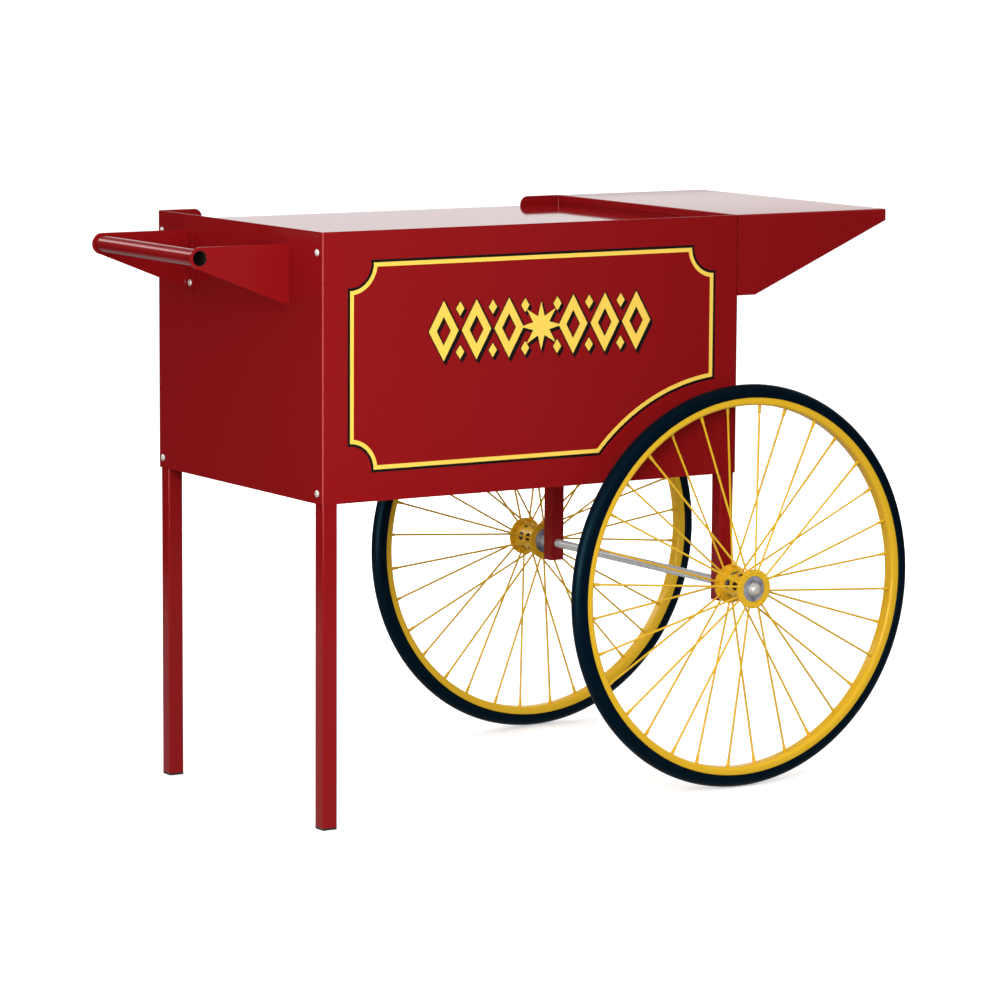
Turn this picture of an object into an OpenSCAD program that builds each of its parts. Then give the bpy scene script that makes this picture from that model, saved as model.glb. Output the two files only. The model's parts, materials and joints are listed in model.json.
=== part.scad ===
// Popcorn cart: a sheet-metal cabinet on two legs and two large spoked wheels, with a push handle
// at the left end and a serving shelf at the right end.
// +X runs from the handle to the wheels, -Y is the decorated front, +Y the operator's side.
// The origin lies on the floor, under the middle of the whole cart.

/* [Cabinet] */
// Length of the cabinet, from the handle end to the wheel end
body_w = 660; // [600:10:720]
// Depth of the cabinet, from the decorated front to the operator's side
body_d = 450; // [400:10:520]
// Height of the cabinet's panels
body_h = 356; // [330:2:400]
// Height of the cabinet's underside above the floor
ground_gap = 433; // [400:1:470]
// Thickness of the steel sheet
sheet_t = 1.2; // [1:0.1:1.5]
// How far the deck lies below the top rim
deck_drop = 13.5; // [10:0.5:20]
// Outside radius of the bends in the sheet
bend_r = 3; // [2.5:0.5:4]
// Depth of the flanges turned inwards at the panels' sides
side_flange = 20; // [16:1:26]
// Width of each raised ear on the operator's side
ear_w = 68; // [50:1:90]
// Radius of the ears' rounded inner corner
ear_r = 12; // [6:1:20]

/* [Legs and posts] */
// Outside size of the square tube
tube_w = 22; // [20:0.5:25]
// Wall of the square tube
tube_t = 1.5; // [1.2:0.1:2]
// Outside corner radius of the square tube
tube_r = 2.5; // [2.2:0.1:3]
// How far an axle post runs down past the axle's centre
post_drop = 25; // [20:1:35]
// Height of the plastic foot showing under a leg
foot_lip = 3; // [2:0.5:6]

/* [Wheels] */
// Outside radius of the tyre
wheel_r = 280; // [260:1:300]
// Distance from a cabinet face to the middle plane of its wheel
wheel_off = 38; // [34:1:50]
// Width of the tyre
tyre_w = 24; // [20:1:30]
// Height of the rubber standing above the rim
tyre_h = 17.5; // [12:0.5:18]
// Width of the rim
rim_w = 21; // [18:1:24]
// Height of the rim's section
rim_h = 11; // [9:1:14]
// Spokes in each wheel, a multiple of four
spoke_n = 32; // [24:4:40]
// Diameter of a spoke
spoke_d = 3; // [2.4:0.1:3.2]
// Angle between a spoke's hub hole and its rim hole, as seen from the axle
spoke_lean_angle = 5.6; // [0:0.2:5.6]
// Turn of the first spoke from the horizontal
spoke_phase = -5.2; // [-11:0.2:11]
// Radius of the hub's flanges
hub_flange_r = 27; // [26:1:32]
// Radius of the hub's barrel
hub_barrel_r = 20; // [19.5:0.5:20.5]
// Distance between the middles of the two hub flanges
hub_len = 54; // [48:1:60]
// Radius of the bearing seats in the hub
bearing_r = 18; // [16:0.5:18.5]
// Diameter of the axle
axle_d = 12.7; // [10:0.1:14]

/* [Handle] */
// Distance from the cabinet to the centre of the handle tube
handle_reach = 132; // [110:1:160]
// Outside diameter of the handle tube
handle_d = 22.2; // [20:0.1:25]
// Wall of the handle tube
handle_t = 1.2; // [1:0.1:2]
// Radius of the round end of a handle bracket
bracket_tip_r = 14.5; // [13:0.5:18]
// Height of a handle bracket where it meets the cabinet
bracket_h = 84; // [70:1:100]
// Distance of a bracket's top edge below the rim
bracket_drop = 20.5; // [15:0.5:30]
// Distance from a bracket to the cabinet's front or back face
bracket_inset = 87; // [60:1:110]

/* [Serving shelf] */
// How far the shelf stands out from the cabinet
shelf_len = 252; // [200:1:262]
// Depth of the lip at the shelf's end
shelf_lip = 16; // [10:1:25]
// Depth of the shelf's cheeks where they meet the cabinet
cheek_h = 111; // [80:1:130]
// Length of the level stretch under each cheek
cheek_foot = 29; // [15:1:50]

/* [Decals] */
// Distance of the yellow stripe from the panel's edges
stripe_inset = 42; // [36:1:50]
// Width of the yellow stripe
stripe_w = 5.5; // [4:0.5:7]
// Width of the black line outside the stripe
outline_w = 3.6; // [2:0.2:5]
// Radius of the stripe's hollow corners
stripe_corner_r = 36; // [28:1:44]
// Gap between the tyre and the stripe's arc round the wheel
arc_gap = 10; // [8:1:16]
// Height of the ornament
ornament_h = 80; // [70:1:90]
// Distance between neighbouring figures of the ornament
ornament_pitch = 51; // [48:0.5:53]

/* [Operator's door] */
// Length of the opening in the back panel
opening_w = 340; // [260:10:340]
// Distance from the handle end to the opening
opening_inset = 85; // [75:5:90]
// Height of the opening in the back panel
opening_h = 250; // [200:5:260]
// Depth of the door's turned edges
door_depth = 11; // [9:0.5:14]
// How far the door covers the panel round the opening
door_lap = 12; // [10:1:16]
// Diameter of the door's knob
knob_d = 28; // [22:1:36]

/* [Hidden] */
$fn = 48;

red = "firebrick";
yellow = "gold";
steel = "silver";

// Places shared by several parts
post_inset = 2 * sheet_t;                   // tube face behind the end panel and the flange
post_c = post_inset + tube_w / 2;           // tube centre from an end of the cabinet
post_cy = sheet_t + tube_w / 2;             // tube centre from the front or back face
left_x = -(body_w - post_c + wheel_r - handle_reach - bracket_tip_r) / 2;
right_x = left_x + body_w;
front_y = -body_d / 2;
back_y = body_d / 2;
base_z = ground_gap;
rim_z = base_z + body_h;
deck_z = rim_z - deck_drop;
axle_x = right_x - post_c;
axle_z = wheel_r;
hem_h = 9;                                  // height of the folded hem under the rim
foot_flange = 18;                           // depth of the flanges under the panels
corner_gap = post_inset + tube_w + 1;       // flanges stop this far from a corner
fit_gap = 0.2;                              // gap between sheet parts that only lie together

// Screws
screw_head_r = 4.6;
screw_head_h = 2.6;
screw_r = 2;
screw_hole_r = 2.1;
screw_len = 9;
screw_low_z = base_z + 14;
screw_high_z = rim_z - 27;
shelf_screw_z = rim_z - 90;
handle_screw_low = rim_z - bracket_drop - bracket_h + 12;
handle_screw_high = handle_screw_low + 40;

// Handle
bracket_t = 2;
bracket_corner_r = 6;
bracket_flange = 15;
handle_x = left_x - handle_reach;
handle_z = rim_z - bracket_drop - bracket_tip_r;
bracket_top = rim_z - bracket_drop;

// Wheel, in its own frame: Z outwards along the axle, 0 at the middle plane
hub_flange_t = 2.4;
hub_wall = 1.4;
rim_wall = 1.6;
rim_in = wheel_r - tyre_h - rim_h;
rim_out = wheel_r - tyre_h;
tyre_foot_gap = 0.15;
spoke_hole_r = 24;
spoke_rim_z = 3;
nipple_r = 2.4;
nipple_len = 12;
nipple_out = rim_in + rim_wall - 0.5;       // a leaning nipple's end stays below the channel's floor
spoke_bend_r = spoke_d * 0.74;              // ball at the bend, larger than the rod crossing the pin
spoke_stand = spoke_bend_r + 0.1;           // bend's centre off the flange's face
spoke_in_z = hub_len / 2 - hub_flange_t / 2 - spoke_stand;
spoke_head_r = 2.1;
spoke_head_h = 0.9;
slot_n = 6;
slot_r = 6.5;
slot_gap = 18;
slot_turn = -10;
bearing_t = 9;
bearing_recess = 0.8;
sleeve_r = 12;
running_gap = 0.05;
bearing_end = hub_len / 2 + hub_flange_t / 2 - bearing_recess;
axial_gap = 0.3;
washer_r = 9;
washer_t = 1.5;
nut_r = 7.4;
nut_h = 8;
nut_dome_r = 8.5;
nut_bore = 5;
spacer_r = 9;

// Door and its hinges
opening_x = left_x + opening_inset;
opening_z = base_z + 55;
door_x0 = opening_x - door_lap;
door_w = opening_w + 2 * door_lap;
door_z0 = opening_z - door_lap;
door_h = opening_h + 2 * door_lap;
door_gap = 0.6;
knuckle_r = 3.6;
pin_r = 1.6;
hinge_x = door_x0 - knuckle_r - 1.4;
hinge_y = back_y + knuckle_r + 0.8;
hinge_len = 54;
leaf_t = 1.4;
leaf_w = 18;
small_screw_r = 1.3;
small_screw_len = 3.6;
hinge_z = [door_z0 + 40, door_z0 + door_h - 40 - hinge_len];
knob_x = door_x0 + door_w - 30;
knob_z = door_z0 + door_h / 2;
catch_h = 44;
catch_z = knob_z + 30;

// ---------- shared shapes ----------

// A rectangle from corner a to corner b with its four corners rounded
module round_rect(a, b, r) {
    translate([a.x + r, a.y]) square([b.x - a.x - 2 * r, b.y - a.y]);
    translate([a.x, a.y + r]) square([b.x - a.x, b.y - a.y - 2 * r]);
    for (x = [a.x + r, b.x - r], y = [a.y + r, b.y - r]) translate([x, y]) circle(r);
}

// Plan of a panel with a flange turned back at each end: open towards +Y
module tray_plan(x0, x1, depth) {
    intersection() {
        difference() {
            round_rect([x0, 0], [x1, 2 * depth], bend_r);
            round_rect([x0 + sheet_t, sheet_t], [x1 - sheet_t, 2 * depth - sheet_t], bend_r - sheet_t);
        }
        translate([x0 - 1, -1]) square([x1 - x0 + 2, depth + 1]);
    }
}

// A hem under the rim, along X: the sheet folded down behind itself, with a round top
module hem(len) {
    translate([0, 0, rim_z - sheet_t - hem_h]) cube([len, 2 * sheet_t, hem_h]);
    translate([0, sheet_t, rim_z - sheet_t]) rotate([0, 90, 0]) cylinder(r = sheet_t, h = len);
}

// Square tube standing on z0, centred on x and y
module square_tube(z0, z1) {
    translate([0, 0, z0]) linear_extrude(z1 - z0) difference() {
        round_rect([-tube_w / 2, -tube_w / 2], [tube_w / 2, tube_w / 2], tube_r);
        round_rect([tube_t - tube_w / 2, tube_t - tube_w / 2],
            [tube_w / 2 - tube_t, tube_w / 2 - tube_t], tube_r - tube_t);
    }
}

// Pan-head screw with its head's seat at 0, pointing down
module screw(len = screw_len) {
    translate([0, 0, -len]) cylinder(r = screw_r, h = len);
    difference() {
        intersection() {
            cylinder(r = screw_head_r, h = screw_head_h);
            translate([0, 0, screw_head_h - 8]) sphere(8);
        }
        for (turn = [0, 90]) rotate(turn) translate([-2.6, -0.5, screw_head_h - 1.3]) cube([5.2, 1, 2]);
    }
}

// Screws and their holes in the left end (side = -1) or the right end (side = 1) of the cabinet
module end_screw_place(side, y, z) {
    translate([side < 0 ? left_x : right_x, y, z]) rotate([0, side * 90, 0]) children();
}
module end_screw_holes(side, heights) {
    for (y = [front_y + post_cy, back_y - post_cy], z = heights)
        end_screw_place(side, y, z) translate([0, 0, -30]) cylinder(r = screw_hole_r, h = 40);
}
module all_end_holes() {
    end_screw_holes(-1, [screw_low_z, screw_high_z]);
    end_screw_holes(1, [screw_low_z, shelf_screw_z, screw_high_z]);
}

// ---------- cabinet ----------

// A long panel at y = 0: face, side flanges that stop under the deck, and a flange underneath
module long_panel() {
    top = deck_z - sheet_t;
    difference() {
        translate([0, 0, base_z]) linear_extrude(body_h)
            tray_plan(left_x + sheet_t, right_x - sheet_t, side_flange);
        translate([left_x - 1, bend_r, top]) cube([body_w + 2, side_flange, deck_drop + 2 * sheet_t]);
    }
    translate([left_x + corner_gap, 0, base_z])
        cube([body_w - 2 * corner_gap, foot_flange, sheet_t]);
}

module front_panel() {
    hem_end = 2 * sheet_t + bend_r;
    color(red) difference() {
        translate([0, front_y, 0]) {
            long_panel();
            translate([left_x + hem_end, 0, 0]) hem(body_w - 2 * hem_end);
        }
        all_end_holes();
    }
}

// The stretch cut away between the ears, down to the deck, in the XZ plane
module ear_cut() {
    x0 = left_x + ear_w;
    x1 = right_x - ear_w;
    translate([x0, deck_z]) square([x1 - x0, 2 * deck_drop]);
    for (side = [0, 1]) translate([side == 0 ? x0 : x1, rim_z]) mirror([side, 0]) difference() {
        translate([-ear_r, -ear_r]) square([ear_r, 2 * ear_r]);
        translate([-ear_r, -ear_r]) circle(ear_r);
    }
}

module back_panel() {
    color(red) difference() {
        translate([0, back_y, 0]) mirror([0, 1, 0]) long_panel();
        translate([0, back_y + 1, 0]) rotate([90, 0, 0]) linear_extrude(side_flange + 2) ear_cut();
        translate([opening_x, back_y - sheet_t - 1, opening_z])
            cube([opening_w, sheet_t + 2, opening_h]);
        all_end_holes();
        hinge_screw_places() small_screw_hole();
        catch_screw_places() small_screw_hole();
    }
}

// One end of the cabinet: a flat sheet outside the flanges, hemmed on top
module end_panel() {
    y0 = front_y + bend_r * 0.6;
    hem_y = front_y + bend_r + fit_gap;
    translate([0, y0, base_z]) cube([sheet_t, -2 * y0, body_h]);
    translate([0, -hem_y, 0]) rotate(-90) hem(-2 * hem_y);
    translate([0, front_y + corner_gap, base_z])
        cube([foot_flange, body_d - 2 * corner_gap, sheet_t]);
}

module left_end_panel() {
    color(red) difference() {
        translate([left_x, 0, 0]) end_panel();
        end_screw_holes(-1, [screw_low_z, screw_high_z]);
        handle_screw_places() translate([0, 0, -20]) cylinder(r = screw_hole_r, h = 30);
    }
}

module right_end_panel() {
    color(red) difference() {
        translate([right_x, 0, 0]) mirror([1, 0, 0]) end_panel();
        end_screw_holes(1, [screw_low_z, shelf_screw_z, screw_high_z]);
    }
}

// A level sheet inside the cabinet, with a square notch in each corner
module level_sheet(z, side_gap, notch) {
    gap = sheet_t + fit_gap;
    difference() {
        translate([left_x + side_gap, front_y + gap, z])
            cube([body_w - 2 * side_gap, body_d - 2 * gap, sheet_t]);
        for (x = [left_x, right_x], y = [front_y, back_y])
            translate([x - notch, y - notch, z - 1]) cube([2 * notch, 2 * notch, sheet_t + 2]);
    }
}

// The deck lies on the four tubes, inside the rim, with its edges turned down
module deck() {
    gap = sheet_t + fit_gap;
    skirt = 14;
    low = deck_z - skirt;
    color(red) {
        level_sheet(deck_z - sheet_t, gap, bend_r + sheet_t + fit_gap);
        for (y = [front_y + gap, back_y - gap - sheet_t])
            translate([left_x + corner_gap, y, low]) cube([body_w - 2 * corner_gap, sheet_t, skirt]);
        for (x = [left_x + gap, right_x - gap - sheet_t])
            translate([x, front_y + corner_gap, low]) cube([sheet_t, body_d - 2 * corner_gap, skirt]);
    }
}

// The cabinet's floor lies on the flanges under the panels
module floor_pan() {
    color(red) level_sheet(base_z + sheet_t, sheet_t + fit_gap, corner_gap);
}

// ---------- legs, posts and axle ----------

module leg(y) {
    difference() {
        translate([left_x + post_c, y, 0]) square_tube(foot_lip, deck_z - sheet_t);
        end_screw_holes(-1, [screw_low_z, screw_high_z]);
    }
}
module front_leg() {
    color(red) leg(front_y + post_cy);
}
module back_leg() {
    color(red) leg(back_y - post_cy);
}

// Plastic feet: a cap under each leg with a hollow plug up inside the tube
module leg_feet() {
    plug = tube_w / 2 - tube_t;
    plug_h = 14;
    color("black") for (y = [front_y + post_cy, back_y - post_cy]) translate([left_x + post_c, y, 0]) {
        linear_extrude(foot_lip) round_rect([-tube_w / 2, -tube_w / 2], [tube_w / 2, tube_w / 2], tube_r);
        translate([0, 0, foot_lip]) linear_extrude(plug_h) difference() {
            round_rect([-plug, -plug], [plug, plug], tube_r - tube_t);
            round_rect([2 - plug, 2 - plug], [plug - 2, plug - 2], 1);
        }
    }
}

module axle_post(y) {
    difference() {
        translate([axle_x, y, 0]) square_tube(axle_z - post_drop, deck_z - sheet_t);
        end_screw_holes(1, [screw_low_z, shelf_screw_z, screw_high_z]);
        translate([axle_x, y, axle_z]) rotate([90, 0, 0])
            cylinder(d = axle_d, h = 2 * tube_w, center = true);
    }
}
module front_axle_post() {
    color(red) axle_post(front_y + post_cy);
}
module back_axle_post() {
    color(red) axle_post(back_y - post_cy);
}

// The wheel's frame at the front; the back wheel is its mirror image
module at_front_wheel() {
    translate([axle_x, front_y - wheel_off, axle_z]) rotate([90, 0, 0]) children();
}
module at_back_wheel() {
    mirror([0, 1, 0]) at_front_wheel() children();
}
module at_both_wheels() {
    at_front_wheel() children();
    at_back_wheel() children();
}

washer_z = bearing_end + axial_gap;
nut_z = washer_z + washer_t;

module axle() {
    half = body_d / 2 + wheel_off + nut_z + nut_bore;
    color(steel) translate([axle_x, 0, axle_z]) rotate([90, 0, 0])
        cylinder(d = axle_d, h = 2 * half, center = true);
}

// A spacer keeps each hub clear of its post
module axle_spacers() {
    post_face = -(wheel_off + sheet_t);
    color(steel) at_both_wheels() difference() {
        translate([0, 0, post_face]) cylinder(r = spacer_r, h = -bearing_end - axial_gap - post_face);
        translate([0, 0, post_face - 1]) cylinder(d = axle_d, h = 40);
    }
}

module axle_washers() {
    color(steel) at_both_wheels() translate([0, 0, washer_z]) difference() {
        cylinder(r = washer_r, h = washer_t);
        translate([0, 0, -1]) cylinder(d = axle_d, h = washer_t + 2);
    }
}

// Push-on cap nuts close the axle's two ends
module axle_cap_nuts() {
    color(steel) at_both_wheels() translate([0, 0, nut_z]) difference() {
        intersection() {
            cylinder(r = nut_r, h = nut_h);
            translate([0, 0, nut_h - nut_dome_r]) sphere(nut_dome_r);
        }
        translate([0, 0, -1]) cylinder(d = axle_d, h = nut_bore + 1);
    }
}

// ---------- wheels ----------

// Solid tyre: a half-round tread on a foot that sits in the rim's channel
module tyre() {
    tread = tyre_w / 2;
    foot_w = rim_w / 2 - rim_wall - tyre_foot_gap;
    foot_r = rim_in + rim_wall + tyre_foot_gap;
    color("black") rotate_extrude($fn = 144) {
        intersection() {
            translate([wheel_r - tread, 0]) circle(tread);
            translate([rim_out, -tread]) square([tyre_h, tyre_w]);
        }
        translate([rim_out, -tread]) square([tyre_h - tread, tyre_w]);
        translate([foot_r, -foot_w]) square([rim_out - foot_r, 2 * foot_w]);
    }
}

// Where spoke number k starts on the hub and ends in the rim
function spoke_turn(k) = spoke_phase + k * 360 / spoke_n;
function spoke_side(k) = k % 2 == 0 ? 1 : -1;
function spoke_lean(k) = floor(k / 2) % 2 == 0 ? -1 : 1;
function spoke_hub_turn(k) = spoke_turn(k) + spoke_lean(k) * spoke_lean_angle;
function spoke_hub_z(k) = spoke_side(k) * spoke_in_z;
function polar(r, a, z) = [r * cos(a), r * sin(a), z];
function spoke_start(k) = polar(spoke_hole_r, spoke_hub_turn(k), spoke_hub_z(k));
function spoke_end(k) = polar(nipple_out, spoke_turn(k), spoke_side(k) * spoke_rim_z);

// Turns Z to point along the line from a to b, starting at b when back is set
module along(a, b, back = 0) {
    d = b - a;
    flat = norm([d.x, d.y]);
    translate(a) rotate([0, atan2(flat, d.z), atan2(d.y, d.x)])
        translate([0, 0, back == 0 ? 0 : norm(d) - back]) children();
}

module rim() {
    half = rim_w / 2;
    color(yellow) difference() {
        rotate_extrude($fn = 144) {
            translate([rim_in, -half]) square([rim_wall, rim_w]);
            for (z = [-half, half - rim_wall]) {
                translate([rim_in, z]) square([rim_h - rim_wall / 2, rim_wall]);
                translate([rim_out - rim_wall / 2, z + rim_wall / 2]) circle(rim_wall / 2, $fn = 24);
            }
        }
        for (k = [0 : spoke_n - 1]) along(spoke_start(k), spoke_end(k), nipple_len)
            cylinder(r = nipple_r + running_gap, h = 2 * nipple_len);
    }
}

// Each spoke: a straight rod, a bend at the hub, a pin through the flange and a head behind it
module spokes() {
    through = spoke_stand + hub_flange_t;
    color(yellow) for (k = [0 : spoke_n - 1]) {
        start = spoke_start(k);
        along(start, spoke_end(k)) cylinder(d = spoke_d, h = norm(spoke_end(k) - start) - 3, $fn = 16);
        translate(start) sphere(spoke_bend_r, $fn = 16);
        translate(start) mirror([0, 0, spoke_side(k) > 0 ? 0 : 1]) {
            cylinder(d = spoke_d, h = through + spoke_head_h / 2, $fn = 16);
            translate([0, 0, through]) cylinder(r = spoke_head_r, h = spoke_head_h, $fn = 16);
        }
    }
}

module nipples() {
    color(yellow) for (k = [0 : spoke_n - 1]) along(spoke_start(k), spoke_end(k), nipple_len)
        difference() {
            cylinder(r = nipple_r, h = nipple_len, $fn = 16);
            translate([0, 0, -1]) cylinder(d = spoke_d, h = nipple_len - 2, $fn = 16);
        }
}

// Hub: a barrel with two flanges, bearing seats at its ends and pairs of round openings
module hub() {
    half = hub_len / 2 + hub_flange_t / 2;
    seat = bearing_t + bearing_recess;
    bore = bearing_r - 1.5;
    shell = half - seat - 1.5;
    color(yellow) difference() {
        union() {
            translate([0, 0, -half]) cylinder(r = hub_barrel_r, h = 2 * half);
            for (z = [-hub_len / 2, hub_len / 2])
                translate([0, 0, z - hub_flange_t / 2]) cylinder(r = hub_flange_r, h = hub_flange_t);
        }
        translate([0, 0, -half - 1]) cylinder(r = bore, h = 2 * half + 2);
        translate([0, 0, -shell]) cylinder(r = hub_barrel_r - hub_wall, h = 2 * shell);
        for (z = [-half - 1, half - seat])
            translate([0, 0, z]) cylinder(r = bearing_r, h = seat + 1);
        for (k = [0 : slot_n - 1], z = [-slot_gap / 2, slot_gap / 2])
            rotate(slot_turn + k * 360 / slot_n) translate([0, 0, z]) rotate([0, 90, 0])
                cylinder(r = slot_r, h = hub_barrel_r + 1);
        for (k = [0 : spoke_n - 1]) translate(polar(spoke_hole_r, spoke_hub_turn(k), 0))
            translate([0, 0, spoke_side(k) > 0 ? hub_len / 2 - 3 : -hub_len / 2 - 3])
                cylinder(r = spoke_d / 2 + running_gap, h = 6, $fn = 24);
    }
}

// Pressed-steel bearings: a dished disc with a raised boss, running on the axle
module bearings() {
    boss_r = 10.5;
    color(steel) for (side = [0, 1]) mirror([0, 0, side])
        translate([0, 0, bearing_end - bearing_t]) difference() {
            union() {
                cylinder(r = bearing_r, h = bearing_t - 1);
                cylinder(r = boss_r, h = bearing_t);
            }
            translate([0, 0, bearing_t - 2.2]) difference() {
                cylinder(r = bearing_r - 1.6, h = 3);
                translate([0, 0, -1]) cylinder(r = boss_r, h = 5);
            }
            translate([0, 0, -1]) cylinder(r = axle_d / 2 + running_gap, h = bearing_t + 2);
        }
}

// Plastic sleeve on the axle, holding a hub's two bearings apart
module bearing_sleeve() {
    half = bearing_end - bearing_t;
    color("black") difference() {
        translate([0, 0, -half]) cylinder(r = sleeve_r, h = 2 * half);
        translate([0, 0, -half - 1]) cylinder(r = axle_d / 2 + running_gap, h = 2 * half + 2);
    }
}

module front_tyre() { at_front_wheel() tyre(); }
module front_rim() { at_front_wheel() rim(); }
module front_spokes() { at_front_wheel() spokes(); }
module front_nipples() { at_front_wheel() nipples(); }
module front_hub() { at_front_wheel() hub(); }
module front_bearings() { at_front_wheel() bearings(); }
module front_bearing_sleeve() { at_front_wheel() bearing_sleeve(); }
module back_tyre() { at_back_wheel() tyre(); }
module back_rim() { at_back_wheel() rim(); }
module back_spokes() { at_back_wheel() spokes(); }
module back_nipples() { at_back_wheel() nipples(); }
module back_hub() { at_back_wheel() hub(); }
module back_bearings() { at_back_wheel() bearings(); }
module back_bearing_sleeve() { at_back_wheel() bearing_sleeve(); }

// ---------- handle ----------

// A bracket's side, in the XZ plane with the tube's centre at 0 and the cabinet at +X:
// a round end, a level top and a lower edge that runs into the round end all but as a tangent
module bracket_side() {
    reach = handle_reach;
    low = bracket_tip_r - bracket_h;
    span = norm([reach, low]);
    bite = 0.04;
    touch_r = bracket_tip_r - bite;
    tilt = atan2(low, reach) - asin(touch_r / span);
    foot = touch_r * [sin(tilt), -cos(tilt)];
    rise = bracket_corner_r * (1 - sin(tilt)) / cos(tilt);
    corner = [reach - bracket_corner_r, low + rise];
    circle(bracket_tip_r);
    translate(corner) circle(bracket_corner_r - bite, $fn = 48);
    polygon([[0, bracket_tip_r], [0, 0], foot, corner + bracket_corner_r * [sin(tilt), -cos(tilt)],
        corner, [reach, corner.y], [reach, bracket_tip_r]]);
}

// A bracket's flange, with its two free corners rounded
module bracket_foot() {
    r = 5;
    square([bracket_flange - r, bracket_h]);
    translate([0, r]) square([bracket_flange, bracket_h - 2 * r]);
    for (z = [r, bracket_h - r]) translate([bracket_flange - r, z]) circle(r, $fn = 48);
}

// side = 1 for the front bracket, whose flange turns towards +Y
module handle_bracket(side) {
    y = side > 0 ? front_y + bracket_inset : back_y - bracket_inset;
    color(red) difference() {
        translate([0, y, 0]) mirror([0, side > 0 ? 0 : 1, 0]) {
            translate([handle_x, bracket_t, handle_z]) rotate([90, 0, 0])
                linear_extrude(bracket_t) bracket_side();
            translate([left_x - bracket_t, 0, bracket_top - bracket_h])
                rotate([90, 0, 90]) linear_extrude(bracket_t) bracket_foot();
        }
        translate([handle_x, y, handle_z]) rotate([90, 0, 0])
            cylinder(d = handle_d, h = 4 * bracket_t, center = true);
        handle_screw_places() translate([0, 0, -20]) cylinder(r = screw_hole_r, h = 30);
    }
}
module front_handle_bracket() { handle_bracket(1); }
module back_handle_bracket() { handle_bracket(-1); }

module handle_bar() {
    len = body_d - 2 * bracket_inset;
    color(red) translate([handle_x, 0, handle_z]) rotate([90, 0, 0]) difference() {
        cylinder(d = handle_d, h = len, center = true);
        cylinder(d = handle_d - 2 * handle_t, h = len + 2, center = true);
    }
}

// The screws' seats on the brackets' flanges
module handle_screw_places() {
    in_y = bracket_inset + bracket_flange / 2 + 1;
    for (y = [front_y + in_y, back_y - in_y], z = [handle_screw_low, handle_screw_high])
        translate([left_x - bracket_t, y, z]) rotate([0, -90, 0]) children();
}

module handle_screws() {
    color(steel) handle_screw_places() screw();
}
module left_panel_screws() {
    color(steel) for (y = [front_y + post_cy, back_y - post_cy], z = [screw_low_z, screw_high_z])
        end_screw_place(-1, y, z) screw();
}
module right_panel_screws() {
    color(steel) for (y = [front_y + post_cy, back_y - post_cy])
        end_screw_place(1, y, screw_low_z) screw();
}
module shelf_screws() {
    color(steel) for (y = [front_y + post_cy, back_y - post_cy], z = [shelf_screw_z, screw_high_z])
        end_screw_place(1, y, z) translate([0, 0, sheet_t]) screw();
}

// ---------- serving shelf ----------

// One cheek, in the XZ plane, from the cabinet's end at 0
module cheek_side() {
    polygon([[0, 0], [shelf_len, 0], [shelf_len, -shelf_lip],
        [cheek_foot, -cheek_h], [0, -cheek_h]]);
}

// The shelf is one folded sheet: top, end lip, two cheeks and a flange on each cheek
module side_shelf() {
    flange = 24;
    bend_in = bend_r - sheet_t;
    color(red) difference() {
        translate([right_x, 0, rim_z]) {
            difference() {
                translate([0, back_y, 0]) rotate([90, 0, 0]) linear_extrude(body_d) cheek_side();
                translate([sheet_t, 0, -sheet_t]) rotate([0, 90, 0]) linear_extrude(shelf_len - 2 * sheet_t)
                    round_rect([0, front_y + sheet_t], [cheek_h + 10, back_y - sheet_t], bend_in);
                translate([-1, front_y + flange, -cheek_h - 1])
                    cube([sheet_t + 2, body_d - 2 * flange, cheek_h + 1 - sheet_t]);
            }
        }
        for (side = [0, 1]) mirror([0, side, 0]) translate([right_x - 1, front_y, rim_z]) edge_round_x();
        end_screw_holes(1, [shelf_screw_z, screw_high_z]);
    }
}

// Cutter that rounds the bend along the shelf's front edge
module edge_round_x() {
    translate([0, bend_r, -bend_r]) rotate([0, 90, 0]) difference() {
        translate([-bend_r - 1, -bend_r - 1, 0]) cube([bend_r + 1, bend_r + 1, shelf_len + 2]);
        translate([0, 0, -1]) cylinder(r = bend_r, h = shelf_len + 4);
    }
}

// ---------- decals on the front ----------

decal_t = 0.3;

module on_front(proud = 0) {
    translate([left_x, front_y - proud, base_z]) rotate([90, 0, 0]) linear_extrude(decal_t) children();
}

// The area inside the stripe's outer edge, grown by g all round
module stripe_area(g) {
    side = stripe_inset - g;
    difference() {
        translate([side, side]) square([body_w - 2 * side, body_h - 2 * side]);
        for (p = [[stripe_inset, stripe_inset], [stripe_inset, body_h - stripe_inset],
                [body_w - stripe_inset, body_h - stripe_inset]])
            translate(p) circle(stripe_corner_r - g);
        translate([axle_x - left_x, axle_z - base_z]) circle(wheel_r + arc_gap - g, $fn = 180);
    }
}

module stripe_decal() {
    color(yellow) on_front() difference() {
        stripe_area(0);
        stripe_area(-stripe_w);
    }
}
module stripe_outline_decal() {
    color("black") on_front() difference() {
        stripe_area(outline_w);
        stripe_area(0);
    }
}

// The ornament: seven figures in a row, grown by g all round
ornament_n = 7;
ornament_c = [338, body_h - 137];
ornament_stroke = 12;

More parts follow.
